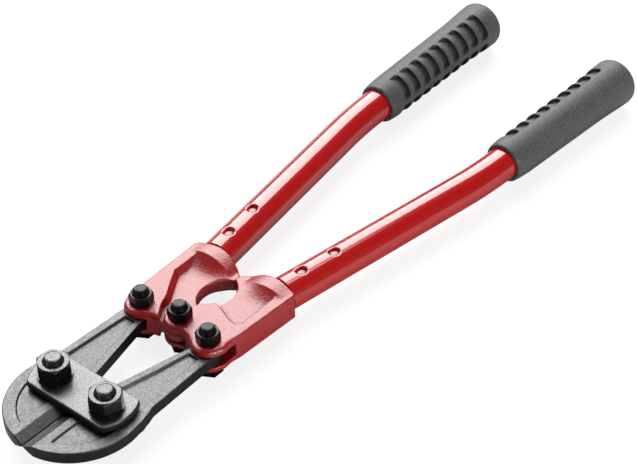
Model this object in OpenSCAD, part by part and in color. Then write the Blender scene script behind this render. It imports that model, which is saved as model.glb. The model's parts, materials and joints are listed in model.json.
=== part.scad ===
// Compound bolt cutter, 450 mm: two jaws between two strap plates, two forged handle heads that drive
// the jaw tails as a toggle, steel tube handles and rubber grips. Drawn closed, lying flat.
// +X points to the jaws, +Y to the left handle, +Z up. Millimetres.

/* [Linkage] */
// Length from the jaw tips to the ends of the grips
overall_len = 450; // [440:1:470]
// Distance of the jaw bolts ahead of the centre bolt
jaw_bolt_x = 73.5; // [72:0.5:75]
// Distance of each jaw bolt from the centre line
jaw_bolt_y = 19; // [18.5:0.1:19.5]
// Distance of the link bolts ahead of the centre bolt
link_x = 4.2; // [3.8:0.1:4.6]
// Distance of each link bolt from the centre line
link_y = 24.6; // [24.2:0.1:25]

/* [Jaws and straps] */
// Thickness of a jaw
jaw_t = 7; // [6.6:0.1:7.2]
// Radius of the round jaw front
jaw_r = 38; // [37:0.5:39]
// Width of the ground bevel beside the cutting edge
bevel_w = 6.5; // [5:0.5:7.5]
// Thickness of a strap plate
strap_t = 4.4; // [4:0.1:5]
// Length of a strap plate along the tool
strap_w = 27.5; // [26:0.5:28]

/* [Handles] */
// Thickness of a handle head over its cheeks
head_t = 16; // [15.6:0.1:16.4]
// Thickness of a handle head where its tube begins
collar_t = 20.6; // [20:0.1:21]
// Outside diameter of a handle tube
tube_od = 20; // [19:0.5:20]
// Wall of a handle tube
tube_wall = 2; // [1.5:0.1:2.2]
// Angle of a tube to the centre line where it leaves its head
tube_splay = 8.5; // [8:0.1:9]
// Angle of a grip to the centre line
grip_splay = 2.1; // [1.5:0.1:2.5]
// Radius of a grip's body
grip_r = 13.7; // [12.5:0.1:14]

/* [Fasteners] */
// Diameter of the jaw bolts
jaw_bolt_d = 10; // [10]
// Diameter of the link bolts and the centre bolt
link_bolt_d = 8; // [8]
// Radial play of a bolt in the part that turns on it
play = 0.05; // [0.02:0.01:0.08]

/* [Hidden] */
$fn = 64;
eps = 0.01;

// Fits and gaps
side_gap = 0.1;          // between a strap and a jaw
fork_gap = 0.2;          // between a cheek and what lies in its fork
edge_gap = 0.05;         // half the gap between the closed jaws
stop_gap = 0.12;         // half the gap between the closed heads at their stops
open_hole_r = 7.1;       // the right head's eye, wide because the loop of links is opened here

// Heights from the middle plane
half_jaw = jaw_t / 2;
strap_z = half_jaw + side_gap;
strap_top_z = strap_z + strap_t;
fork_z = half_jaw + fork_gap;
cheek_z = head_t / 2;
collar_z = collar_t / 2;

// Hardware: width across flats, height, and how far the bolt's tip stands above its nut
jaw_af = 17;
jaw_head_h = 7;
jaw_nut_h = 8;
jaw_tip_h = 3;
washer_t = 1.8;
washer_r = 9.6;
link_af = 12;
link_head_h = 5.3;
link_nut_h = 6;
link_tip_h = 3.6;
rest_z = strap_top_z + jaw_head_h;

// Plan places measured from the centre bolt
front_c = jaw_bolt_x + 4;              // centre of the round jaw front
tip_x = front_c + jaw_r;
strap_front_x = jaw_bolt_x + 13;
head_rear_x = -54;
tube_start = [-54.4, 25];
tube_bend_x = -185;                    // where the tube starts to bend towards the grip's angle
bend_r = 270;
grip_mouth_x = -222;
grip_end_x = tip_x - overall_len;
tube_r = tube_od / 2;

// Puts the drawing's centre bolt where the bounding box has its middle over the origin
module place() {
    translate([overall_len / 2 - tip_x, 0, rest_z]) children();
}

module mirror_y() {
    mirror([0, 1, 0]) children();
}

// Both faces of a plate: children above the middle plane, and the same below it
module both_faces() {
    children();
    mirror([0, 0, 1]) children();
}

module slab(half) {
    translate([0, 0, -half]) linear_extrude(2 * half) children();
}

// ---- Jaws -------------------------------------------------------------------------------------

tail_r = 7.7;
rim_w = 7;
blade_panel_depth = 1;
arm_panel_depth = 1.6;
panel_y = 11.3;

module jaw_outline() {
    difference() {
        translate([front_c, 0]) circle(jaw_r, $fn = 128);
        translate([front_c - 60, edge_gap - 80]) square([120, 80]);
        // Behind its bolt the inner edge falls away, so that the jaws part there as the front opens
        polygon([[0, -1], [jaw_bolt_x - 0.5, -1], [jaw_bolt_x - 0.5, edge_gap], [jaw_bolt_x - 8, 3],
                 [jaw_bolt_x - 8, 50], [0, 50]]);
    }
    polygon([[link_x + 1, link_y + tail_r - 0.2], [56, 34.2], [61, 35.8], [67, 37], [80, 30], [80, 2],
             [jaw_bolt_x - 0.5, edge_gap], [56, 6.8], [12, 17.1], [link_x + 2, link_y - tail_r + 0.2]]);
    translate([link_x, link_y]) circle(tail_r);
}

// The sunk panel on the blade, inside the round rim
module blade_panel() {
    intersection() {
        translate([front_c, 0]) circle(jaw_r - rim_w, $fn = 96);
        translate([strap_front_x - 3, panel_y]) square([40, 40]);
    }
}

// The sunk panel along the arm, between its two rims
module arm_panel() {
    polygon([[14.5, 19.8], [34, 16.3], [62, 9.6], [62, 30.4], [14.5, 27.3]]);
}

module bevel_cut() {
    edge_land = 0.3;
    translate([jaw_bolt_x + 8, 0, 0]) rotate([90, 0, 90]) linear_extrude(50)
        polygon([[-1, edge_land], [edge_gap, edge_land], [bevel_w, half_jaw + eps], [-1, half_jaw + eps]]);
}

module jaw() {
    color("dimgray") {
        difference() {
            slab(half_jaw) jaw_outline();
            both_faces() {
                translate([0, 0, half_jaw - blade_panel_depth]) linear_extrude(2) blade_panel();
                translate([0, 0, half_jaw - arm_panel_depth]) linear_extrude(2) arm_panel();
                bevel_cut();
            }
            translate([jaw_bolt_x, jaw_bolt_y, -10]) cylinder(r = jaw_bolt_d / 2 + play, h = 20);
            translate([link_x, link_y, -10]) cylinder(r = link_bolt_d / 2 + play, h = 20);
        }
    }
}

// ---- Straps -----------------------------------------------------------------------------------

module strap_outline() {
    end_r = 22;
    end_y = 32.5;
    intersection() {
        translate([strap_front_x - strap_w, -end_y]) square([strap_w, 2 * end_y]);
        union() {
            translate([0, -jaw_bolt_y]) square([strap_front_x, 2 * jaw_bolt_y]);
            for (side = [-1, 1])
                translate([jaw_bolt_x - 1.5, side * (end_y - end_r)]) circle(end_r, $fn = 96);
        }
    }
}

module strap() {
    color("gray") difference() {
        translate([0, 0, strap_z]) linear_extrude(strap_t) strap_outline();
        for (side = [-1, 1])
            translate([jaw_bolt_x, side * jaw_bolt_y, 0]) cylinder(r = jaw_bolt_d / 2 + 2 * play, h = 20);
    }
}

// ---- Bolts, nuts and washers ------------------------------------------------------------------

// A hexagon with its corners turned off, at the top only or at both ends
module hexagon(af, h, turned = true) {
    corner = af / sqrt(3) + 0.05;
    turn = (corner - af / 2) * 0.6;
    intersection() {
        cylinder(r = af / sqrt(3), h = h, $fn = 6);
        rotate_extrude() polygon(concat([[0, 0]], turned ? [[af / 2, 0], [corner, turn]] : [[corner, 0]],
            [[corner, h - turn], [af / 2, h], [0, h]]));
    }
}

// The bolt stands on its head; the thread that shows above the nut is cut as rings
module bolt(d, af, head_h, shank, pitch) {
    r = d / 2;
    depth = pitch * 0.45;
    rings = 3;
    hexagon(af, head_h, false);
    rotate_extrude() polygon(concat(
        [[0, head_h - 1], [r, head_h - 1]],
        [for (i = [rings : -1 : 1], side = [0, 1])
            [side == 0 ? r : r - depth, head_h + shank - pitch * (i + 0.2) + side * pitch / 2]],
        [[r, head_h + shank - pitch * 0.7], [r - 0.6 * pitch, head_h + shank - 0.25],
         [r - 0.6 * pitch - 0.8, head_h + shank], [0, head_h + shank]]));
}

module nut(af, h, d) {
    r = d / 2 + play;
    difference() {
        hexagon(af, h);
        translate([0, 0, -1]) rotate_extrude()
            polygon([[0, 0], [r, 0], [r, h + 0.4], [r + 0.8, h + 1.2], [r + 0.8, h + 2], [0, h + 2]]);
    }
}

module jaw_bolt() {
    color("silver") translate([jaw_bolt_x, jaw_bolt_y, -rest_z])
        bolt(jaw_bolt_d, jaw_af, jaw_head_h, 2 * strap_top_z + washer_t + jaw_nut_h + jaw_tip_h, 1.5);
}

module jaw_nut() {
    color("silver") translate([jaw_bolt_x, jaw_bolt_y, strap_top_z + washer_t]) rotate([0, 0, 12])
        nut(jaw_af, jaw_nut_h, jaw_bolt_d);
}

module jaw_washer() {
    color("silver") translate([jaw_bolt_x, jaw_bolt_y, strap_top_z]) difference() {
        cylinder(r = washer_r, h = washer_t);
        translate([0, 0, -1]) cylinder(r = jaw_bolt_d / 2 + 0.25, h = 5);
    }
}

module link_bolt(at) {
    color("#222222") translate([at[0], at[1], -cheek_z - link_head_h])
        bolt(link_bolt_d, link_af, link_head_h, head_t + link_nut_h + link_tip_h, 1.25);
}

module link_nut(at, turn) {
    color("#222222") translate([at[0], at[1], cheek_z]) rotate([0, 0, turn])
        nut(link_af, link_nut_h, link_bolt_d);
}

// ---- Handle heads -----------------------------------------------------------------------------

lobe_r = 10;             // round the link bolt
eye_r = 9.4;             // round the centre bolt
ramp_x = -33;            // where the floor of the head starts to rise to the collar
tang_len = 46;
tang_r = tube_r - tube_wall - 0.1;

// The left head seen from above; the hole between the two heads is taken out of its inner edge
module head_outline() {
    difference() {
        polygon([[6, -2], [8.3, 12], [9.9, 16.4], [link_x, link_y + lobe_r], [-50.5, 36.6], [-52.4, 34.5],
                 [-53.6, 27], [head_rear_x, 18], [-53.2, 11], [-50.8, 5], [-48.4, 1.6], [-46.5, stop_gap],
                 [-12, stop_gap], [-6, -4]]);
        translate([-28.5, -6]) circle(15.5, $fn = 96);
    }
    circle(eye_r);
    translate([link_x, link_y]) circle(lobe_r);
}

// The raised rear of a head: a ramp from the floor up to a crowned collar round the tube
module collar(floor_z) {
    crown_r = 24;
    both_faces() intersection() {
        translate([0, 0, -1]) linear_extrude(20) head_outline();
        translate([0, 60, 0]) rotate([90, 0, 0]) linear_extrude(80)
            polygon([[ramp_x, -1], [ramp_x, floor_z], [-40, floor_z + 2.2], [-48, collar_z],
                     [-60, collar_z], [-60, -1]]);
        translate([-60, 21, collar_z - crown_r]) rotate([0, 90, 0]) cylinder(r = crown_r, h = 40, $fn = 128);
    }
}

// The part of a head that goes inside the tube
module tang() {
    translate([tube_start[0] + 8, tube_start[1] - 8 * tan(tube_splay), 0]) rotate([0, -90, -tube_splay])
        cylinder(r = tang_r, h = tang_len + 8);
}

// Room for the jaw's tail, open to the front and to the outside
module tail_slot() {
    slab(fork_z) {
        translate([link_x, link_y]) circle(tail_r + 0.8);
        polygon([[link_x - 10, link_y], [link_x - 10, 50], [30, 50], [30, link_y - tail_r - 0.8],
                 [link_x, link_y - tail_r - 0.8]]);
    }
}

module bolt_hole(at) {
    translate([at[0], at[1], -20]) cylinder(r = link_bolt_d / 2 + play, h = 40);
}

// A sloped foot along a wall from p to q, rising to h
module wall_foot(p, q, floor_z, foot) {
    d = q - p;
    both_faces() translate([p[0], p[1], floor_z - 0.5]) rotate([0, 0, atan2(d[1], d[0])])
        rotate([90, 0, 90]) linear_extrude(norm(d))
            polygon([[-0.5, 0], [foot, 0], [foot, 0.5], [0, cheek_z - floor_z + 0.5],
                     [-0.5, cheek_z - floor_z + 0.5]]);
}

left_floor = 5;
left_cheek_edge = [[-12.5, -0.5], [-20, 7.6], [-13.6, 24], [-13.8, 27.6], [-16.5, 29.6], [-60, 29.6]];

module head_left() {
    color("red") {
        difference() {
            union() {
                slab(left_floor) head_outline();
                slab(cheek_z) intersection() {
                    head_outline();
                    polygon(concat([[20, -12], [-6, -12]], left_cheek_edge, [[-60, 50], [20, 50]]));
                }
                wall_foot([-20, 9.6], [-15.2, 21.2], left_floor, 1.6);
                wall_foot([-19, 29.6], [-44, 29.6], left_floor, 1.2);
                collar(left_floor);
            }
            slab(fork_z) circle(eye_r + 3.5);
            slab(fork_z) polygon([[0, 0], [30, 11], [30, -20], [-30, -20], [-16, 0]]);
            tail_slot();
            bolt_hole([0, 0]);
            bolt_hole([link_x, link_y]);
        }
        tang();
    }
}

right_floor = half_jaw;
right_cheek_edge = [[8.2, 9], [-2, 15.6], [-7, 17.6], [-17.8, 24.4], [-25.7, 29], [-60, 29]];

// Drawn on the left side, and mirrored to the right
module head_right_drawn() {
    color("red") {
        difference() {
            union() {
                slab(right_floor) head_outline();
                slab(cheek_z) intersection() {
                    head_outline();
                    polygon(concat(right_cheek_edge, [[-60, 50], [20, 50], [20, 9]]));
                }
                collar(right_floor);
            }
            tail_slot();
            translate([0, 0, -20]) cylinder(r = open_hole_r, h = 40);
            bolt_hole([link_x, link_y]);
        }
        tang();
    }
}

// ---- Tubes and grips --------------------------------------------------------------------------

straight_len = (tube_start[0] - tube_bend_x) / cos(tube_splay);
bend_angle = tube_splay - grip_splay;
bend_start = tube_start + straight_len * [-cos(tube_splay), sin(tube_splay)];
bend_centre = bend_start - bend_r * [sin(tube_splay), cos(tube_splay)];
bend_end = bend_centre + bend_r * [sin(grip_splay), cos(grip_splay)];
tube_end_len = (bend_end[0] - grip_end_x - 8) / cos(grip_splay);
tube_end = bend_end + tube_end_len * [-cos(grip_splay), sin(grip_splay)];
dent_x = [-67.2, -90.6];
dent_r = 5;

// Stations along the tube's axis: a place in plan, and the axis's angle to the centre line there
bend_steps = 8;
stations = concat(
    [[tube_start, tube_splay]],
    [for (i = [0 : bend_steps])
        let (a = tube_splay - bend_angle * i / bend_steps)
            [bend_centre + bend_r * [sin(a), cos(a)], a]],
    [[tube_end, grip_splay]]);
sides = 64;

// The ring of points round one station at radius r
function ring(st, r) = [for (j = [0 : sides - 1])
    let (t = 360 * j / sides)
        [st[0][0] + r * cos(t) * sin(st[1]), st[0][1] + r * cos(t) * cos(st[1]), r * sin(t)]];

module tube_wall_shape() {
    n = len(stations);
    outer = [for (st = stations, p = ring(st, tube_r)) p];
    inner = [for (st = stations, p = ring(st, tube_r - tube_wall)) p];
    in0 = n * sides;
    last = (n - 1) * sides;
    polyhedron(points = concat(outer, inner), convexity = 6, faces = concat(
        [for (k = [0 : n - 2], j = [0 : sides - 1]) let (a = k * sides, q = (j + 1) % sides)
            [a + j, a + sides + j, a + sides + q, a + q]],
        [for (k = [0 : n - 2], j = [0 : sides - 1]) let (a = in0 + k * sides, q = (j + 1) % sides)
            [a + q, a + sides + q, a + sides + j, a + j]],
        [for (j = [0 : sides - 1]) let (q = (j + 1) % sides) [q, in0 + q, in0 + j, j]],
        [for (j = [0 : sides - 1]) let (q = (j + 1) % sides)
            [last + j, in0 + last + j, in0 + last + q, last + q]]));
}

module tube() {
    color("firebrick") difference() {
        tube_wall_shape();
        for (x = dent_x)
            translate([x, tube_start[1] + (tube_start[0] - x) * tan(tube_splay), tube_r + dent_r - 1.2])
                sphere(dent_r, $fn = 32);
    }
}

rib_count = 9;
rib_pitch = 9.95;
rib_first = 13;

function grip_axis_y(x) = bend_end[1] + (bend_end[0] - x) * tan(grip_splay);

module grip() {
    length = (grip_mouth_x - grip_end_x) / cos(grip_splay) - 0.5;
    flare_r = rest_z;
    color("#333333") translate([grip_mouth_x, grip_axis_y(grip_mouth_x), 0]) difference() {
        rotate([0, -90, -grip_splay]) difference() {
            rotate_extrude() polygon([
                [0, 0], [11.3, 0], [11.9, 0.9], [12.6, 5], [grip_r, 12], [grip_r + 0.2, length - 20],
                [flare_r - 0.4, length - 11], [flare_r, length - 8], [flare_r, length - 4.5],
                [flare_r - 1, length - 1.8], [flare_r - 3, length - 0.4], [flare_r - 5, length], [0, length]]);
            translate([0, 0, -1]) cylinder(r = tube_r + play, h = length - 4);
        }
        // Two rows of sawtooth pockets on the side that faces the other grip
        rotate([0, 0, -grip_splay]) for (i = [0 : rib_count - 1], side = [-1, 1])
            translate([-rib_first - i * rib_pitch, 0, 0]) rotate([side * 45, 0, 0])
                translate([0, -grip_r, 0]) slab(8)
                    polygon([[3.5, -4], [3.5, 0], [-3.5, 1.4], [-3.5, -4]]);
    }
}

// ---- The assembly -----------------------------------------------------------------------------

place() jaw();  // jaw_left
place() mirror_y() jaw();  // jaw_right
place() strap();  // strap_top
place() mirror([0, 0, 1]) strap();  // strap_bottom
place() jaw_bolt();  // jaw_bolt_left
place() mirror_y() jaw_bolt();  // jaw_bolt_right
place() jaw_nut();  // jaw_nut_left
place() mirror_y() jaw_nut();  // jaw_nut_right
place() jaw_washer();  // jaw_washer_left
place() mirror_y() jaw_washer();  // jaw_washer_right
place() head_left();
place() mirror_y() head_right_drawn();  // head_right
place() link_bolt([link_x, link_y]);  // link_bolt_left
place() link_bolt([link_x, -link_y]);  // link_bolt_right
place() link_bolt([0, 0]);  // centre_bolt
place() link_nut([link_x, link_y], 8);  // link_nut_left
place() link_nut([link_x, -link_y], 20);  // link_nut_right
place() link_nut([0, 0], 14);  // centre_nut
place() tube();  // tube_left
place() mirror_y() tube();  // tube_right
place() grip();  // grip_left
place() mirror_y() grip();  // grip_right
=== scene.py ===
"""Looks of the compound bolt cutter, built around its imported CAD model.

The scene is in metres, in the row frame. Sizes and places of the tool are in millimetres here,
and at() and MM turn them into metres. Materials, the floor and the lights are in metres.
"""
import json
import math

import bpy
import numpy as np
from mathutils import Matrix, Vector


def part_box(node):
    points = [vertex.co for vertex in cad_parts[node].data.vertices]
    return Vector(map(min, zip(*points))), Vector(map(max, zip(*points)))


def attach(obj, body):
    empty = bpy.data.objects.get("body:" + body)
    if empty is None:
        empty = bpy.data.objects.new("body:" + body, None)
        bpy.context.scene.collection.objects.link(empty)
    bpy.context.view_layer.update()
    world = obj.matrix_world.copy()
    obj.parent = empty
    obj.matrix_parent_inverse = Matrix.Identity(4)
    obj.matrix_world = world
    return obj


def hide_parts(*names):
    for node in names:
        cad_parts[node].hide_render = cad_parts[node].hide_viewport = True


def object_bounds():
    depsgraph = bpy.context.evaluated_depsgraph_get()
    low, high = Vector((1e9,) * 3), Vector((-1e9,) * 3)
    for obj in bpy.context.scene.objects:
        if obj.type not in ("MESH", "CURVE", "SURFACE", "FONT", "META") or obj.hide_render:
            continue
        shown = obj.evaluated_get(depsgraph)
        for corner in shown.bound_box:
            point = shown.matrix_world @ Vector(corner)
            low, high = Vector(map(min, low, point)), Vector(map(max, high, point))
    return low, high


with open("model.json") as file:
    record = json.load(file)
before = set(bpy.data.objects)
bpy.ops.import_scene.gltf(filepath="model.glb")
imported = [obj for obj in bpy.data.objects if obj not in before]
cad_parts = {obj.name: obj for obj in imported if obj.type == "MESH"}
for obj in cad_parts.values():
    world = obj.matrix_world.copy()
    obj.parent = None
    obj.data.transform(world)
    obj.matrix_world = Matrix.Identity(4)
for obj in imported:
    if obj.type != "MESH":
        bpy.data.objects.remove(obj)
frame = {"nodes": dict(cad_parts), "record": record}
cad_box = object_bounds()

MM = 0.001
SIDES = (("left", 1), ("right", -1))
record = frame["record"]
SLOT_OF = {part["node"]: part["material_slot"] for part in record["subparts"]}
BODY_OF = {node: body for body, members in record["behaviour"]["bodies"].items()
           for node in members}


# ---- Places read from the CAD model -------------------------------------------------------------

def middle(node):
    lo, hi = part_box(node)
    return (lo + hi) / 2


centre = middle("centre_bolt")          # the centre bolt's axis
mid_z = (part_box("jaw_left")[0].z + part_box("jaw_left")[1].z) / 2
floor_z = cad_box[0].z
centre_height = (mid_z - floor_z) / MM  # of the middle plane over the floor, in millimetres


def at(x, y, z):
    """A place given in millimetres from the centre bolt and the middle plane, in the row frame."""
    return Vector((centre.x + x * MM, y * MM, mid_z + z * MM))


def smooth_step(t):
    """0 up to t = 0 and 1 from t = 1 on, with a smooth slope between."""
    t = np.clip(t, 0, 1)
    return t * t * (3 - 2 * t)


# ---- Materials ----------------------------------------------------------------------------------

class Nodes:
    """One Principled material, and short ways to feed its sockets."""

    def __init__(self, name, **constants):
        self.mat = bpy.data.materials.new(name)
        self.mat.use_nodes = True
        self.tree = self.mat.node_tree
        self.bsdf = self.tree.nodes["Principled BSDF"]
        self.coords = self.new("ShaderNodeTexCoord").outputs["Object"]
        for key, value in constants.items():
            self.bsdf.inputs[key.replace("_", " ")].default_value = value

    def new(self, kind, **values):
        node = self.tree.nodes.new(kind)
        for key, value in values.items():
            setattr(node, key, value)
        return node

    def link(self, a, b):
        self.tree.links.new(a, b)

    def feed(self, socket, source):
        self.link(source, self.bsdf.inputs[socket])

    def noise(self, scale, detail, rough=0.55):
        node = self.new("ShaderNodeTexNoise")
        node.inputs["Scale"].default_value = scale
        node.inputs["Detail"].default_value = detail
        node.inputs["Roughness"].default_value = rough
        self.link(self.coords, node.inputs["Vector"])
        return node.outputs["Fac"]

    def ramp(self, fac, stops):
        node = self.new("ShaderNodeValToRGB")
        elements = node.color_ramp.elements
        while len(elements) < len(stops):
            elements.new(0.5)
        for item, (place, colour) in zip(elements, stops):
            item.position = place
            item.color = (*colour, 1.0)
        self.link(fac, node.inputs["Fac"])
        return node.outputs["Color"]

    def rescale(self, value, low, high, to_low=0.0, to_high=1.0):
        """Takes low..high to to_low..to_high, and stops at both ends."""
        node = self.new("ShaderNodeMapRange")
        for key, number in (("From Min", low), ("From Max", high),
                            ("To Min", to_low), ("To Max", to_high)):
            node.inputs[key].default_value = number
        self.link(value, node.inputs["Value"])
        return node.outputs["Result"]

    def spread(self, noise, low, high):
        """Takes the range that most noise lies in to low..high."""
        return self.rescale(noise, 0.3, 0.7, low, high)

    def crease_shade(self, reach, dark, low=0.45, high=0.85):
        """Painted shade: 1 on open surfaces, falling to dark in inner corners, by what else of the
        same piece stands within reach. Openness low gives dark and high gives 1."""
        node = self.new("ShaderNodeAmbientOcclusion", samples=12, only_local=True)
        node.inputs["Distance"].default_value = reach
        return self.rescale(node.outputs["AO"], low, high, dark)

    def blend(self, factor, colour, other=None):
        """From black, or the other colour, at factor 0 to colour at factor 1."""
        node = self.new("ShaderNodeMix", data_type="RGBA")
        a, b = node.inputs[6], node.inputs[7]
        a.default_value = (0.0, 0.0, 0.0, 1.0)
        self.link(factor, node.inputs["Factor"])
        if other is not None:
            self.link(other, a)
        self.link(colour, b)
        return node.outputs[2]

    def bump(self, heights, strength, distance):
        node = self.new("ShaderNodeBump")
        node.inputs["Strength"].default_value = strength
        node.inputs["Distance"].default_value = distance
        self.link(heights, node.inputs["Height"])
        self.feed("Normal", node.outputs["Normal"])
        return node.outputs["Normal"]


def shades(colour, stops):
    """Ramp stops that show one colour at several brightnesses."""
    return [(place, [c * brightness for c in colour]) for place, brightness in stops]


def steel(name, face, wall, metallic, rough, grain):
    """Steel that is lighter on faces that lie flat and darker on steep walls, by how far the
    surface faces up or down: partly ground faces against forged scale, partly painted shade on the
    walls; with painted shade in inner corners too.
    """
    m = Nodes(name, Metallic=metallic)
    split = m.new("ShaderNodeSeparateXYZ")
    m.link(m.new("ShaderNodeNewGeometry").outputs["Normal"], split.inputs["Vector"])
    size = m.new("ShaderNodeMath", operation="ABSOLUTE")
    m.link(split.outputs["Z"], size.inputs[0])
    # painted shade: steep walls take the darker wall colour, partly for forged scale
    flat = m.rescale(size.outputs[0], 0.25, 0.8)
    fine = m.noise(1000, 3, 0.7)
    ground = m.ramp(fine, shades(face, ((0.32, 0.62), (0.5, 1.0), (0.68, 1.5))))
    scale = m.ramp(fine, shades(wall, ((0.3, 0.7), (0.7, 1.4))))
    # painted shade: the colour also darkens in inner corners, by occlusion
    m.feed("Base Color", m.blend(m.crease_shade(0.0022, 0.15), m.blend(flat, ground, scale)))
    m.feed("Roughness", m.spread(m.noise(300, 4), rough - 0.05, rough + 0.06))
    m.bump(m.noise(1200, 3, 0.6), grain, 0.0002)
    return m.mat


def cast_paint(name):
    """Red paint over a cast skin: pebbled, with painted shade darkening its inner corners, which
    are also rougher.
    """
    m = Nodes(name, Metallic=0.0, Specular_IOR_Level=0.85)
    red = m.ramp(m.noise(1000, 3, 0.7),
                 [(0.35, (0.16, 0.001, 0.002)), (0.65, (0.45, 0.004, 0.006))])
    # painted shade: the base colour falls to black in inner corners by occlusion
    clear = m.crease_shade(0.0035, 0.0, 0.50, 0.93)
    m.feed("Base Color", m.blend(clear, red))
    m.feed("Roughness", m.rescale(clear, 0, 1, 0.95, 0.31))
    m.bump(m.noise(800, 2, 0.6), 0.75, 0.0003)
    return m.mat


def lacquer(name):
    """Glossy red lacquer over drawn tube, with painted shade in the dimples: its colour darkens
    and its coat thins there.
    """
    m = Nodes(name, Metallic=0.0, Coat_Roughness=0.06, Coat_IOR=1.68, Specular_IOR_Level=0.2)
    red = m.ramp(m.noise(250, 3, 0.6),
                 [(0.3, (0.38, 0.0006, 0.0012)), (0.7, (0.44, 0.0009, 0.0016))])
    # painted shade: base colour and coat weight fall in the dimples by occlusion
    clear = m.crease_shade(0.010, 0.10, 0.76, 0.92)
    m.feed("Base Color", m.blend(clear, red))
    m.feed("Coat Weight", clear)
    m.feed("Roughness", m.spread(m.noise(300, 3), 0.28, 0.36))
    m.feed("Coat Normal", m.bump(m.noise(200, 3, 0.6), 0.05, 0.0003))
    return m.mat


def rubber(name):
    """Dull moulded rubber, with painted shade darkening it down in the scallops."""
    m = Nodes(name, Metallic=0.0, Specular_IOR_Level=0.4)
    speckle = m.ramp(m.noise(1000, 3, 0.7),
                     [(0.35, (0.038, 0.040, 0.041)), (0.65, (0.110, 0.112, 0.114))])
    # painted shade: the speckled colour darkens in the scallops by occlusion
    m.feed("Base Color", m.blend(m.crease_shade(0.0055, 0.08, 0.66, 0.98), speckle))
    m.feed("Roughness", m.spread(m.noise(500, 3), 0.46, 0.58))
    m.bump(m.noise(1300, 3, 0.6), 0.6, 0.0003)
    return m.mat


STEELS = {    # colours of the ground faces and of the walls (forged scale, darkened further as painted shade), metallic, roughness, grain
    "jaw_steel": ((0.080, 0.080, 0.081), (0.034, 0.034, 0.034), 0.9, 0.38, 0.35),
    "strap_steel": ((0.110, 0.110, 0.111), (0.060, 0.060, 0.061), 0.9, 0.36, 0.25),
    "jaw_hardware": ((0.088, 0.088, 0.088), (0.038, 0.038, 0.038), 0.9, 0.27, 0.2),
    "black_hardware": ((0.024, 0.024, 0.025), (0.010, 0.010, 0.010), 0.85, 0.30, 0.2),
}
MATERIALS = {
    **{name: steel(name, *look) for name, look in STEELS.items()},
    "head_paint": cast_paint("head_paint"),
    "tube_lacquer": lacquer("tube_lacquer"),
    "grip_rubber": rubber("grip_rubber"),
}


def dress(obj, slot):
    obj.data.materials.clear()
    obj.data.materials.append(MATERIALS[slot])


# ---- Pieces that stand in for CAD nodes ---------------------------------------------------------

def new_object(name, verts, faces):
    mesh = bpy.data.meshes.new(name)
    mesh.from_pydata(verts, [], faces)
    obj = bpy.data.objects.new(name, mesh)
    bpy.context.scene.collection.objects.link(obj)
    return obj


def stand_in(obj, node):
    """Puts a piece in a CAD node's place, with that node's body and slot."""
    body, slot = BODY_OF[node], SLOT_OF[node]
    obj.data.shade_smooth()
    dress(obj, slot)
    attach(obj, body)
    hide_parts(node)


def settle(obj):
    """Applies an object's modifiers to its mesh."""
    bpy.context.view_layer.update()
    graph = bpy.context.evaluated_depsgraph_get()
    mesh = bpy.data.meshes.new_from_object(obj.evaluated_get(graph))
    obj.modifiers.clear()
    obj.data = mesh


def round_edges(obj, width, segments, angle):
    """A bevel of width millimetres on every edge that turns more than angle degrees."""
    bevel = obj.modifiers.new("ease", "BEVEL")
    bevel.width = width * MM
    bevel.segments = segments
    bevel.limit_method = "ANGLE"
    bevel.angle_limit = math.radians(angle)
    return bevel


def bridge(faces, row, next_row, sides, outward):
    """Adds the quads between two closed rows of points, given by the index of their first."""
    for j in range(sides):
        q = (j + 1) % sides
        face = (row + j, row + q, next_row + q, next_row + j)
        faces.append(face if outward else face[::-1])


# ---- Forgings, as fields: below zero inside, in millimetres from the centre bolt ----------------

def soft_max(a, b, k):
    """The larger of two fields, with a round of size k where they meet."""
    blend = np.maximum(k - np.abs(a - b), 0.0) / k
    return np.maximum(a, b) + blend * blend * k * 0.25


def soft_min(a, b, k):
    return -soft_max(-a, -b, k)


def disc(x, y, cx, cy, r):
    return np.hypot(x - cx, y - cy) - r


def drill(field, x, y, cx, cy, r):
    """Cuts a hole of radius r straight through."""
    return np.maximum(field, -disc(x, y, cx, cy, r)[..., None])


def outline(x, y, corners):
    """Signed distance to a polygon, below zero inside."""
    d = np.full(x.shape, 1e9)
    inside = np.zeros(x.shape, bool)
    for (ax, ay), (bx, by) in zip(corners, corners[1:] + corners[:1]):
        ex, ey = bx - ax, by - ay
        t = np.clip(((x - ax) * ex + (y - ay) * ey) / (ex * ex + ey * ey), 0, 1)
        d = np.minimum(d, np.hypot(x - ax - t * ex, y - ay - t * ey))
        crosses = (ay > y) != (by > y)
        if ey:
            inside ^= crosses & (x < (y - ay) / ey * ex + ax)
    return np.where(inside, -d, d)


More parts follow.
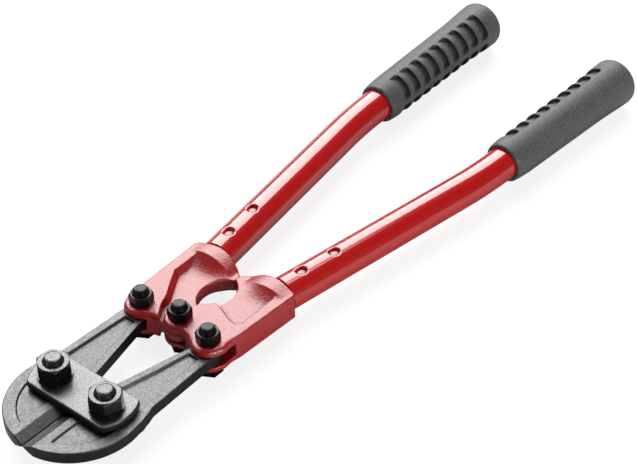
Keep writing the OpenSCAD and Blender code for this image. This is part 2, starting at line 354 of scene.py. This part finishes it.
def skin(field, origin, step):
    """The zero surface of a sampled field, with one vertex in each cell that it crosses."""
    inside = field < 0
    shape = np.array(field.shape) - 1
    total = np.zeros((*shape, 3))
    count = np.zeros(shape)

    def part(a, offset):
        return a[tuple(slice(o, o + n) for o, n in zip(offset, shape))]

    corners = [(i, j, k) for i in (0, 1) for j in (0, 1) for k in (0, 1)]
    for c in corners:
        for axis in range(3):
            if c[axis]:
                continue
            e = list(c)
            e[axis] = 1
            a, b = part(field, c), part(field, e)
            cut = part(inside, c) != part(inside, e)
            t = np.where(cut, a / np.where(cut, a - b, 1.0), 0.0)
            count += cut
            for q in range(3):
                total[..., q] += cut * (c[q] + (t if q == axis else 0.0))
    active = count > 0
    index = np.full(shape, -1)
    index[active] = np.arange(int(active.sum()))
    cells = np.argwhere(active)
    verts = (cells + total[active] / count[active][:, None]) * np.array(step) + np.array(origin)
    faces = []
    for axis in range(3):
        u, v = (axis + 1) % 3, (axis + 2) % 3
        lo = [slice(1, n) for n in shape]
        lo[axis] = slice(0, shape[axis])
        hi = list(lo)
        hi[axis] = slice(1, shape[axis] + 1)
        a, b = inside[tuple(lo)], inside[tuple(hi)]
        crossed = np.argwhere(a != b)
        flip = a[tuple(crossed.T)]
        place = crossed + 1
        place[:, axis] -= 1
        quad = []
        for du, dv in ((-1, -1), (0, -1), (0, 0), (-1, 0)):
            cell = place.copy()
            cell[:, u] += du
            cell[:, v] += dv
            quad.append(index[tuple(cell.T)])
        quad = np.array(quad).T
        quad[~flip] = quad[~flip][:, ::-1]
        faces.append(quad)
    return verts, np.concatenate(faces)


def ticks(lo, hi, step):
    """Grid places from lo to past hi; below zero they fall on whole steps."""
    return np.arange(lo - (lo % step if lo < 0 else 0), hi + step, step)


def forge(name, node, sign, shape, spans, step, rounds=1, keep=0.5, lift=0.0):
    """A piece from its field shape(x, y, zs), drawn on the left and mirrored for the right.
    spans: the field's x and y ranges, and its half height each way from the plane at lift."""
    (x0, x1), (y0, y1), half = spans
    top = math.ceil(half / step[2])
    axes = [ticks(x0, x1, step[0]), ticks(y0, y1, step[1]), np.arange(-top, top + 1) * step[2]]
    x, y = np.meshgrid(axes[0], axes[1], indexing="ij")
    verts, faces = skin(shape(x, y, axes[2]), [a[0] for a in axes], step)
    points = np.empty(verts.shape)
    points[:, 0] = centre.x + verts[:, 0] * MM
    points[:, 1] = sign * verts[:, 1] * MM
    points[:, 2] = mid_z + (verts[:, 2] + lift) * MM
    if sign < 0:
        faces = faces[:, ::-1]
    obj = new_object(name, points.tolist(), faces.tolist())
    smooth = obj.modifiers.new("smooth", "SMOOTH")
    smooth.factor = 0.5
    smooth.iterations = rounds
    thin = obj.modifiers.new("thin", "DECIMATE")
    thin.ratio = keep
    settle(obj)
    stand_in(obj, node)


# ---- CAD nodes that stay, with their edges eased ------------------------------------------------

# width of the eased edges, by how the node's name starts
EASE = {"jaw_bolt": 0.12, "jaw_washer": 0.25, "link_bolt": 0.1, "centre_bolt": 0.1}
for node, obj in frame["nodes"].items():
    dress(obj, SLOT_OF[node])
    width = next((w for start, w in EASE.items() if node.startswith(start)), None)
    if width is None:
        continue
    obj.data.shade_smooth()
    round_edges(obj, width, 3, 25)
    weighted = obj.modifiers.new("normals", "WEIGHTED_NORMAL")
    weighted.keep_sharp = False

# ---- Nuts ---------------------------------------------------------------------------------------

NUT_SIDES = 96                # points round a nut
NUT_FACE = 0.96               # the flat ring's radius, as a share of half the width over the flats
NUT_SLOPE = 0.58              # of the chamfer, height to radius
NUT_COUNTERSINK = 0.8
NUT_EASE = 0.18


def hex_nut(node, flats, bore, turn):
    """A chamfered nut in rings of points, turned by turn degrees."""
    lo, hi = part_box(node)
    x, y = (lo.x + hi.x) / 2, (lo.y + hi.y) / 2
    height = (hi.z - lo.z) / MM
    face_r = flats / 2 * NUT_FACE

    def spoke(hexagon):
        """Radius and height where each ring meets a spoke, by the hexagon's radius on it: from
        the foot of the bore outward, up, and back in to the top of the bore."""
        drop = max(0.0, hexagon - face_r) * NUT_SLOPE
        return ((bore, 0.0), (face_r, 0.0), (hexagon, drop), (hexagon, height - drop),
                (face_r, height), (bore + NUT_COUNTERSINK, height),
                (bore, height - NUT_COUNTERSINK))

    spokes = []
    for j in range(NUT_SIDES):
        a = 2 * math.pi * j / NUT_SIDES
        hexagon = flats / 2 / math.cos(a % (math.pi / 3) - math.pi / 6)
        spokes.append((a + math.radians(turn), spoke(hexagon)))
    rings = len(spokes[0][1])
    verts, faces = [], []
    for k in range(rings):
        for a, points in spokes:
            r, level = points[k]
            verts.append((x + r * math.cos(a) * MM, y + r * math.sin(a) * MM, lo.z + level * MM))
        bridge(faces, k * NUT_SIDES, (k + 1) % rings * NUT_SIDES, NUT_SIDES, True)
    obj = new_object("hex_" + node, verts, faces)
    stand_in(obj, node)
    bevel = round_edges(obj, NUT_EASE, 2, 22)
    bevel.harden_normals = True


for node, flats, bore, turn in (
        ("jaw_nut_left", 17.0, 5.05, 42), ("jaw_nut_right", 17.0, 5.05, 52),
        ("link_nut_left", 12.0, 4.05, 8), ("link_nut_right", 12.0, 4.05, 20),
        ("centre_nut", 12.0, 4.05, 14)):
    hex_nut(node, flats, bore, turn)

# ---- Jaws ---------------------------------------------------------------------------------------

LINK = (4.2, 24.6)            # a link bolt's axis
JAW_BOLT = (73.5, 19.0)
JAW_BOLT_HOLE, LINK_HOLE = 5.1, 4.1
JAW_HALF = 3.5                # half the thickness
FRONT_X, FRONT_R = 77.5, 38.0
EDGE_GAP = 0.05               # from the cutting edge to the middle
EDGE_HALF, BEVEL_WIDTH = 0.3, 6.45
BEVEL_FROM_X = 81.5
PANEL_RIM, PANEL_X, PANEL_Y = 7, 80, 11.3         # rim left round the front, and least x and y
TAIL_R = 7.7
FILLET = 2.0                  # round where an eye or a lobe meets the body


def pocket(distance, depth, draft):
    """How far down a pocket with sloping walls goes, by the distance to its rim (< 0 inside)."""
    return depth * smooth_step(-distance / draft)


def jaw_shape(x, y, zs):
    front = disc(x, y, FRONT_X, 0, FRONT_R)
    back = outline(x, y, [(0, -30), (73.0, -30), (73.0, EDGE_GAP), (65.5, 3), (65.5, 50), (0, 50)])
    arm = outline(x, y, [(5.2, 32.1), (56, 34.0), (61, 35.6), (67, 36.8), (80, 30), (80, 2),
                         (73, EDGE_GAP), (56, 6.8), (12, 17.1), (6.2, 17.1)])
    d = soft_min(np.maximum(front, -back), arm, FILLET)
    d = soft_min(d, disc(x, y, *LINK, TAIL_R), FILLET)
    d = np.maximum(d, EDGE_GAP - y)
    panel = disc(x, y, FRONT_X, 0, FRONT_R - PANEL_RIM)
    panel = np.maximum(panel, np.maximum(PANEL_X - x, PANEL_Y - y))
    web = outline(x, y, [(14.5, 19.8), (34, 16.3), (62, 9.6), (62, 30.4), (14.5, 27.3)])
    half = JAW_HALF - pocket(panel, 1.0, 0.6) - pocket(web, 1.6, 0.9)
    bevel = EDGE_HALF + (y - EDGE_GAP) * ((JAW_HALF - EDGE_HALF) / BEVEL_WIDTH)
    half = np.where(x > BEVEL_FROM_X, np.minimum(half, bevel), half)
    field = soft_max(d[..., None], np.abs(zs) - half[..., None], 0.7)
    field = drill(field, x, y, *JAW_BOLT, JAW_BOLT_HOLE)
    return drill(field, x, y, *LINK, LINK_HOLE)


for side, sign in SIDES:
    forge("blade_" + side, "jaw_" + side, sign, jaw_shape,
          ((-6, 117), (-1.4, 39), 4.2), (0.36, 0.36, 0.3))

# ---- Straps -------------------------------------------------------------------------------------

STRAP_HALF = 2.2              # half the thickness
STRAP_MID = 5.8               # its own middle plane, above or below the jaws'
STRAP_FRONT, STRAP_REAR = 86.5, 59.0
STRAP_END_R, STRAP_END_X, STRAP_END_Y = 22.0, JAW_BOLT[0] - 1.5, 32.5
STRAP_HOLE = 5.15


def strap_shape(x, y, zs):
    bolt_x, bolt_y = JAW_BOLT
    reach = np.abs(y)
    shoulder = STRAP_END_Y - STRAP_END_R
    ends = disc(x, reach, STRAP_END_X, shoulder, STRAP_END_R)
    d = np.where(reach > shoulder, ends, -5.0)
    between = [(STRAP_REAR, -bolt_y), (STRAP_FRONT, -bolt_y), (STRAP_FRONT, bolt_y),
               (STRAP_REAR, bolt_y)]
    d = np.minimum(d, outline(x, y, between))
    d = soft_max(d, np.maximum(x - STRAP_FRONT, STRAP_REAR - x), 0.8)
    field = soft_max(d[..., None], np.abs(zs) - STRAP_HALF, 1.1)
    for _, sign in SIDES:
        field = drill(field, x, y, bolt_x, sign * bolt_y, STRAP_HOLE)
    return field


for end, up_or_down in (("top", 1), ("bottom", -1)):
    forge("strap_plate_" + end, "strap_" + end, 1, strap_shape,
          ((57, 89), (-34, 34), 2.8), (0.32, 0.32, 0.275), lift=up_or_down * STRAP_MID)

# ---- Handle heads -------------------------------------------------------------------------------

STOP_GAP = 0.12               # from a head's stop face to the middle
LOBE_R, EYE_R = 10.0, 9.4     # round the link bolt and round the centre bolt
LOBE_FILLET = 3.0
LINK_EYE = 4.15
CENTRE_EYE = {"left": 4.15, "right": 7.1}
FORK_HALF = 3.7               # half the slot between the cheeks
TAIL_GAP, EYE_GAP = 0.8, 3.5  # from the jaw's tail and the other head's eye to the slot's end
CHEEK = 8.0                   # half the thickness over the cheeks
WEB = {"left": 5.0, "right": 3.5}       # half the thickness of the sunk web
COLLAR = 10.2                 # half the thickness over the collar's crest
CROWN_Y, CROWN_FALL = 22.0, 52.0        # the crest's highest place, and how slowly it falls away
CREST_X, COVE = -45.0, 15.0   # where the cove that rises from the web meets the collar; its length
WINDOW = (-28.5, -6, 15.5)    # centre and radius of the round opening between the heads
TANG_X, TANG_Y, TANG_R, TANG_LENGTH = -48.0, 24.05, 7.8, 52
TUBE_SPLAY, GRIP_SPLAY = math.radians(8.5), math.radians(2.1)
HEAD_OUTLINE = [(6, -2), (8.3, 12), (9.9, 16.4), (4.2, 34.6), (-50.5, 36.6), (-52.4, 34.5),
                (-53.6, 27), (-54, 18), (-53.2, 11), (-50.8, 5), (-48.4, 1.6), (-46.5, STOP_GAP),
                (-12, STOP_GAP), (-6, -4)]
CHEEK_EDGE = {
    "left": [(20, -12), (-6, -12), (-12.5, -0.5), (-20, 7.6), (-13.6, 24), (-13.8, 27.6),
             (-16.5, 29.6), (-60, 29.6), (-60, 60), (20, 60)],
    "right": [(8.2, 9), (-2, 15.6), (-7, 17.6), (-17.8, 24.4), (-25.7, 29), (-60, 29),
              (-60, 60), (20, 60), (20, 9)],
}


def cheek_foot(side, x, y):
    """How far the wall between cheek and web runs out: steep at its ends, sloping along it."""
    to_collar = smooth_step((x + 44) / 8.0)
    if side == "right":
        return 0.4 + 2.4 * smooth_step((-1 - x) / 6.0) * to_collar
    return 0.4 + 0.9 * smooth_step((y - 6) / 6.0) * to_collar


def head_shape(side):
    web = WEB[side]

    def shape(x, y, zs):
        d = outline(x, y, HEAD_OUTLINE)
        d = soft_min(d, disc(x, y, 0, 0, EYE_R), FILLET)
        d = soft_min(d, disc(x, y, *LINK, LOBE_R), LOBE_FILLET)
        d = soft_max(d, -disc(x, y, *WINDOW), 1.0)
        cheek = outline(x, y, CHEEK_EDGE[side])
        step = np.clip(1 - cheek / cheek_foot(side, x, y), 0, 1)
        high = web + (CHEEK - web) * step
        rise = np.clip((CREST_X + COVE - x) / COVE, 0, 1) ** 2
        crown = COLLAR - (y - CROWN_Y) ** 2 / CROWN_FALL
        high = soft_max(high, web + (np.maximum(crown, web) - web) * rise, 1.4)
        roll = 1.3 + 1.9 * smooth_step((x + 10) / 10.0)
        field = soft_max(d[..., None], np.abs(zs) - high[..., None], roll[..., None])
        slot = np.minimum(disc(x, y, *LINK, TAIL_R + TAIL_GAP),
                          outline(x, y, [(-5.8, LINK[1]), (-5.8, 60), (40, 60), (40, 16.1),
                                         (LINK[0], 16.1)]))
        if side == "left":
            slot = np.minimum(slot, disc(x, y, 0, 0, EYE_R + EYE_GAP))
            slot = np.minimum(slot, outline(x, y, [(0, 0), (30, 11), (30, -20), (-30, -20),
                                                   (-16, 0)]))
        gap = np.maximum(slot[..., None], np.abs(zs) - FORK_HALF)
        field = soft_max(field, -gap, 0.5)
        field = drill(field, x, y, 0, 0, CENTRE_EYE[side])
        field = drill(field, x, y, *LINK, LINK_EYE)
        # the tang, inside the tube
        cos, sin = math.cos(TUBE_SPLAY), math.sin(TUBE_SPLAY)
        along = (TANG_X - x) * cos + (y - TANG_Y) * sin
        across = (y - TANG_Y) * cos - (TANG_X - x) * sin
        rod = np.hypot(across[..., None], zs) - TANG_R
        rod = np.maximum(rod, np.maximum(-along, along - TANG_LENGTH)[..., None])
        return np.minimum(field, rod)

    return shape


for side, sign in SIDES:
    forge("forged_head_" + side, "head_" + side, sign, head_shape(side),
          ((-101, 15), (-11, 39), 11.5), (0.4, 0.4, 0.4), 2, 0.45)

# ---- Tubes --------------------------------------------------------------------------------------

TUBE_START = (-54.4, 25.0)
BEND_X, BEND_R = -185.0, 270.0
TUBE_R, TUBE_WALL, TUBE_SIDES = 10.0, 2.0, 160
TUBE_END = 8.0                # how far short of the grip's end the tube stops
TUBE_STEP = 4.0               # between its rows of points, along x
DENT_X = (-67.2, -90.6)
DENT_DEPTH, DENT_R, DENT_WALL = 1.75, 4.2, 2.4
DENT_SPAN, DENT_STEP = 5.2, 0.35        # the closer rows at a dent
GRIP_MOUTH, GRIP_END = -222.0, -334.5


def bend_points():
    """Where the bend starts, its centre, and where it ends."""
    run = (TUBE_START[0] - BEND_X) / math.cos(TUBE_SPLAY)
    sx, sy = BEND_X, TUBE_START[1] + run * math.sin(TUBE_SPLAY)
    cx, cy = sx - BEND_R * math.sin(TUBE_SPLAY), sy - BEND_R * math.cos(TUBE_SPLAY)
    ex, ey = cx + BEND_R * math.sin(GRIP_SPLAY), cy + BEND_R * math.cos(GRIP_SPLAY)
    return (sx, sy), (cx, cy), (ex, ey)


BEND_START, BEND_CENTRE, BEND_END = bend_points()


def axis_at(x):
    """The handle's axis at x: its y, and its angle to the centre line."""
    if x >= BEND_START[0]:
        return TUBE_START[1] + (TUBE_START[0] - x) * math.tan(TUBE_SPLAY), TUBE_SPLAY
    if x <= BEND_END[0]:
        return BEND_END[1] + (BEND_END[0] - x) * math.tan(GRIP_SPLAY), GRIP_SPLAY
    angle = math.asin((x - BEND_CENTRE[0]) / BEND_R)
    return BEND_CENTRE[1] + BEND_R * math.cos(angle), angle


def handle_point(x, u, w, sign):
    """A point beside the axis at x: u outward across it in plan, w up."""
    y, a = axis_at(x)
    return at(x + u * math.sin(a), sign * (y + u * math.cos(a)), w)


def dent(x, angle):
    """Depth of the dimples on top of the tube."""
    depth = 0.0
    for dent_x in DENT_X:
        across = TUBE_R * (angle - math.pi / 2)
        r = math.hypot((x - dent_x) / math.cos(TUBE_SPLAY), across)
        depth = max(depth, DENT_DEPTH * smooth_step((DENT_R - r) / DENT_WALL))
    return depth


def tube(side, sign):
    """The outside from head to grip, then the bore back again."""
    xs = set(np.round(np.arange(GRIP_END + TUBE_END, TUBE_START[0], TUBE_STEP), 3))
    for dent_x in DENT_X:
        close = np.arange(dent_x - DENT_SPAN, dent_x + DENT_SPAN + 0.1, DENT_STEP)
        xs |= set(np.round(close, 3))
    xs = sorted(xs | {TUBE_START[0]}, reverse=True)
    angles = [2 * math.pi * j / TUBE_SIDES for j in range(TUBE_SIDES)]
    rows = [(x, [TUBE_R - dent(x, t) for t in angles]) for x in xs]
    rows += [(x, [TUBE_R - TUBE_WALL] * TUBE_SIDES) for x in reversed(xs)]
    verts, faces = [], []
    for k, (x, radii) in enumerate(rows):
        verts += [tuple(handle_point(x, r * math.cos(t), r * math.sin(t), sign))
                  for r, t in zip(radii, angles)]
        bridge(faces, k * TUBE_SIDES, (k + 1) % len(rows) * TUBE_SIDES, TUBE_SIDES, sign < 0)
    stand_in(new_object("handle_tube_" + side, verts, faces), "tube_" + side)


# ---- Grips --------------------------------------------------------------------------------------

GRIP_SIDES = 192
GRIP_BORE = 10.15
GRIP_LEAN = 0.6               # how much further back than its middle the leaning end's rim is
RIBS, RIB_FIRST, RIB_PITCH = 9, 13.0, 9.95
RIB_HALF = 4.4                # half a scallop's length
RIB_DEPTH = 2.1
RIB_SLOPE = 1.7 * RIB_HALF    # how long its gentle slope is
RIB_EDGE = 0.5                # how wide its steep edge is
RIB_CORNER = 2.4              # radius of its corners
RIB_FROM, RIB_TO = 8, 84      # degrees up or down from the grip's inner side
RIB_R = 13.8                  # the grip's radius there
EDGE_ROWS = (-0.9, -0.7, -0.5, -0.3, -0.1, 0.1)     # closer rows of points at a steep edge
LIP, TAIL, BODY_R = 3, 7, 12  # lengths of the grip's lip and tail, and the least radius between
PLUG_FROM_END = 5.0
PLUG_FACE_R = 0.4             # radius of its last face


def scallop(s, t):
    """Depth of the scallops at distance s from the mouth, t radians up from the inner side."""
    if not RIB_FIRST - RIB_HALF < s < RIB_FIRST + (RIBS - 1) * RIB_PITCH + RIB_HALF:
        return 0.0
    turn = abs(math.degrees(t))
    d = (s - RIB_FIRST + RIB_PITCH / 2) % RIB_PITCH - RIB_PITCH / 2
    if abs(d) > RIB_HALF or not RIB_FROM < turn < RIB_TO:
        return 0.0
    from_end = math.radians(min(turn - RIB_FROM, RIB_TO - turn)) * RIB_R
    edge = RIB_CORNER - math.hypot(max(RIB_CORNER - (RIB_HALF - d), 0),
                                   max(RIB_CORNER - from_end, 0))
    return RIB_DEPTH * smooth_step((d + RIB_HALF) / RIB_SLOPE) * smooth_step(edge / RIB_EDGE)


def grip_profile(length):
    """Distance from the mouth and radius, closely spaced, from the mouth round to the end."""
    flare = centre_height - 0.05        # the grip's end stands on the floor
    corners = [(0.0, GRIP_BORE), (0.0, 11.6), (0.25, 12.0), (0.8, 12.3), (2.2, 12.5), (5, 12.8),
               (12, 13.25), (length - 30, 13.9), (length - 10, flare - 0.12), (length - 6, flare),
               (length - 4.4, flare), (length - 2.6, flare - 0.35), (length - 1.2, flare - 1.2),
               (length - 0.4, flare - 2.4), (length - 0.05, flare - 4.0), (length, flare - 7.0),
               (length, 0.6)]
    fine = []
    for (s0, r0), (s1, r1) in zip(corners, corners[1:]):
        steps = max(1, int(math.ceil(max(abs(s1 - s0), abs(r1 - r0)) / 0.5)))
        fine += [(s0 + (s1 - s0) * i / steps, r0 + (r1 - r0) * i / steps) for i in range(steps)]
    fine.append(corners[-1])
    lip = [point for point in fine if point[0] <= LIP]
    body = [point for point in fine if LIP < point[0] < length - TAIL]
    tail = [point for point in fine if point[0] >= length - TAIL]
    body_s, body_r = zip(*body)
    edges = [RIB_FIRST + i * RIB_PITCH + RIB_HALF for i in range(RIBS)]
    places = [edge + step for edge in edges for step in EDGE_ROWS]
    close = [(s, float(np.interp(s, body_s, body_r))) for s in places]
    return lip + sorted(body + close) + tail


def grip(side, sign):
    """A moulded grip: a profile turned round the handle's axis, with two rows of sawtooth
    scallops on its inner side, and a plug at the blind end of its bore."""
    length = (GRIP_MOUTH - GRIP_END) / math.cos(GRIP_SPLAY) - GRIP_LEAN
    profile = grip_profile(length)
    base_y, angle = axis_at(GRIP_MOUTH)
    out = Vector((math.sin(angle), sign * math.cos(angle), 0))
    along = Vector((-math.cos(angle), sign * math.sin(angle), 0))
    start = at(GRIP_MOUTH, sign * base_y, 0)
    up = Vector((0, 0, 1))
    angles = [2 * math.pi * j / GRIP_SIDES for j in range(GRIP_SIDES)]
    spokes = [out * math.cos(t) + up * math.sin(t) for t in angles]
    from_inner = [math.atan2(math.sin(t), -math.cos(t)) for t in angles]
    verts, faces = [], []

    def row(s, radii):
        for spoke, r in zip(spokes, radii):
            verts.append(tuple(start + along * (s * MM) + spoke * (r * MM)))

    def cap(first, outward):
        ring = tuple(range(first, first + GRIP_SIDES))
        faces.append(ring if outward else ring[::-1])

    for s, r in profile:
        row(s, [r - (scallop(s, t) if r > BODY_R else 0.0) for t in from_inner])
    rows = len(profile)
    for k in range(rows - 1):
        bridge(faces, k * GRIP_SIDES, (k + 1) * GRIP_SIDES, GRIP_SIDES, sign < 0)
    cap((rows - 1) * GRIP_SIDES, sign < 0)
    base = len(verts)
    for r in (GRIP_BORE, PLUG_FACE_R):
        row(length - PLUG_FROM_END, [r] * GRIP_SIDES)
    bridge(faces, base, 0, GRIP_SIDES, sign < 0)
    bridge(faces, base + GRIP_SIDES, base, GRIP_SIDES, sign < 0)
    cap(base + GRIP_SIDES, sign > 0)
    stand_in(new_object("rubber_grip_" + side, verts, faces), "grip_" + side)


for side, sign in SIDES:
    tube(side, sign)
    grip(side, sign)


# ---- Floor --------------------------------------------------------------------------------------

FLOOR_HALF = 6.0
FLOOR_DROP = 0.0002           # just under what rests on it


def floor_material():
    """Pale and evenly lit, with only a faint shadow; darker in the tool's own reflections."""
    mat = bpy.data.materials.new("studio_floor")
    mat.use_nodes = True
    tree = mat.node_tree
    tree.nodes.clear()

    def new(kind, **values):
        node = tree.nodes.new(kind)
        for key, value in values.items():
            node.inputs[key].default_value = value
        return node

    def mixed(fac, a, b):
        node = new("ShaderNodeMixShader")
        tree.links.new(fac, node.inputs["Fac"])
        tree.links.new(a, node.inputs[1])
        tree.links.new(b, node.inputs[2])
        return node.outputs["Shader"]

    noise = new("ShaderNodeTexNoise", Scale=3.0)
    ramp = new("ShaderNodeValToRGB")
    for item, level in zip(ramp.color_ramp.elements, (0.80, 0.84)):
        item.color = (level, level, level, 1)
    tree.links.new(noise.outputs["Fac"], ramp.inputs["Fac"])
    body = new("ShaderNodeBsdfDiffuse")
    tree.links.new(ramp.outputs["Color"], body.inputs["Color"])
    reflected = new("ShaderNodeBsdfDiffuse", Color=(0.48, 0.48, 0.48, 1))
    glow = new("ShaderNodeEmission", Strength=0.84)
    faint = new("ShaderNodeBsdfDiffuse", Color=(0.22, 0.22, 0.22, 1))
    seen = new("ShaderNodeAddShader")
    tree.links.new(glow.outputs["Emission"], seen.inputs[0])
    tree.links.new(faint.outputs["BSDF"], seen.inputs[1])
    path = new("ShaderNodeLightPath")
    hidden = mixed(path.outputs["Is Glossy Ray"], body.outputs["BSDF"], reflected.outputs["BSDF"])
    surface = mixed(path.outputs["Is Camera Ray"], hidden, seen.outputs["Shader"])
    tree.links.new(surface, new("ShaderNodeOutputMaterial").inputs["Surface"])
    return mat


floor = new_object("floor", [(x * FLOOR_HALF, y * FLOOR_HALF, floor_z - FLOOR_DROP)
                             for x, y in ((-1, -1), (1, -1), (1, 1), (-1, 1))], [(0, 1, 2, 3)])
floor.data.materials.append(floor_material())


# ---- Lights and camera --------------------------------------------------------------------------

CAM_AZ, CAM_EL, CAM_ROLL = 132.39, 39.18, -2.436        # degrees
CAM_DIST = 1159.0             # millimetres, to CAM_TARGET
CAM_TARGET = (-106.97, 4.96, 0)         # from the centre bolt and the middle plane
FOCAL_PX, IMAGE_WIDTH = 2057.0, 638
SENSOR_MM = 36.0
LIGHT_DIST = 2.6              # metres


def direction(azimuth, elevation):
    """A unit vector in degrees. Azimuth 0 stands on the -Y side, 90 on the +X side."""
    a, e = math.radians(azimuth), math.radians(elevation)
    return Vector((math.sin(a) * math.cos(e), -math.cos(a) * math.cos(e), math.sin(e)))


def softbox(name, azimuth, elevation, width, height, radiance):
    """A rectangular light facing the object; azimuth is from the camera's."""
    light = bpy.data.lights.new(name, "AREA")
    light.shape = "RECTANGLE"
    light.size = width
    light.size_y = height
    light.energy = radiance * width * height * math.pi
    obj = bpy.data.objects.new(name, light)
    away = direction(CAM_AZ + azimuth, elevation)
    obj.location = away * LIGHT_DIST
    obj.rotation_euler = away.to_track_quat("Z", "Y").to_euler()
    bpy.context.scene.collection.objects.link(obj)


softbox("back_box", 187, 40, 3.0, 2.1, 7.0)
softbox("high_box", 156, 72, 1.3, 1.0, 3.6)
softbox("fill_left", -70, 30, 1.0, 1.0, 0.8)
softbox("fill_right", 36, 12, 1.8, 1.2, 7.0)

world = bpy.data.worlds.new("studio")
world.use_nodes = True
sky = world.node_tree.nodes["Background"]
sky.inputs["Color"].default_value = (0.95, 0.95, 0.95, 1)
sky.inputs["Strength"].default_value = 0.10
bpy.context.scene.world = world
bpy.context.scene.view_settings.view_transform = "Standard"

back = direction(CAM_AZ, CAM_EL)
right = Vector((0, 0, 1)).cross(back).normalized()
up = back.cross(right)
roll = math.radians(CAM_ROLL)
cam_x = right * math.cos(roll) + up * math.sin(roll)
cam_y = up * math.cos(roll) - right * math.sin(roll)
cam_data = bpy.data.cameras.new("camera")
cam_data.sensor_width = SENSOR_MM
cam_data.lens = FOCAL_PX / IMAGE_WIDTH * SENSOR_MM
cam_data.clip_start = 0.05
cam_data.clip_end = 50
cam = bpy.data.objects.new("camera", cam_data)
bpy.context.scene.collection.objects.link(cam)
cam.matrix_world = (Matrix.Translation(at(*CAM_TARGET) + back * (CAM_DIST * MM))
                    @ Matrix((cam_x, cam_y, back)).transposed().to_4x4())
bpy.context.scene.camera = cam
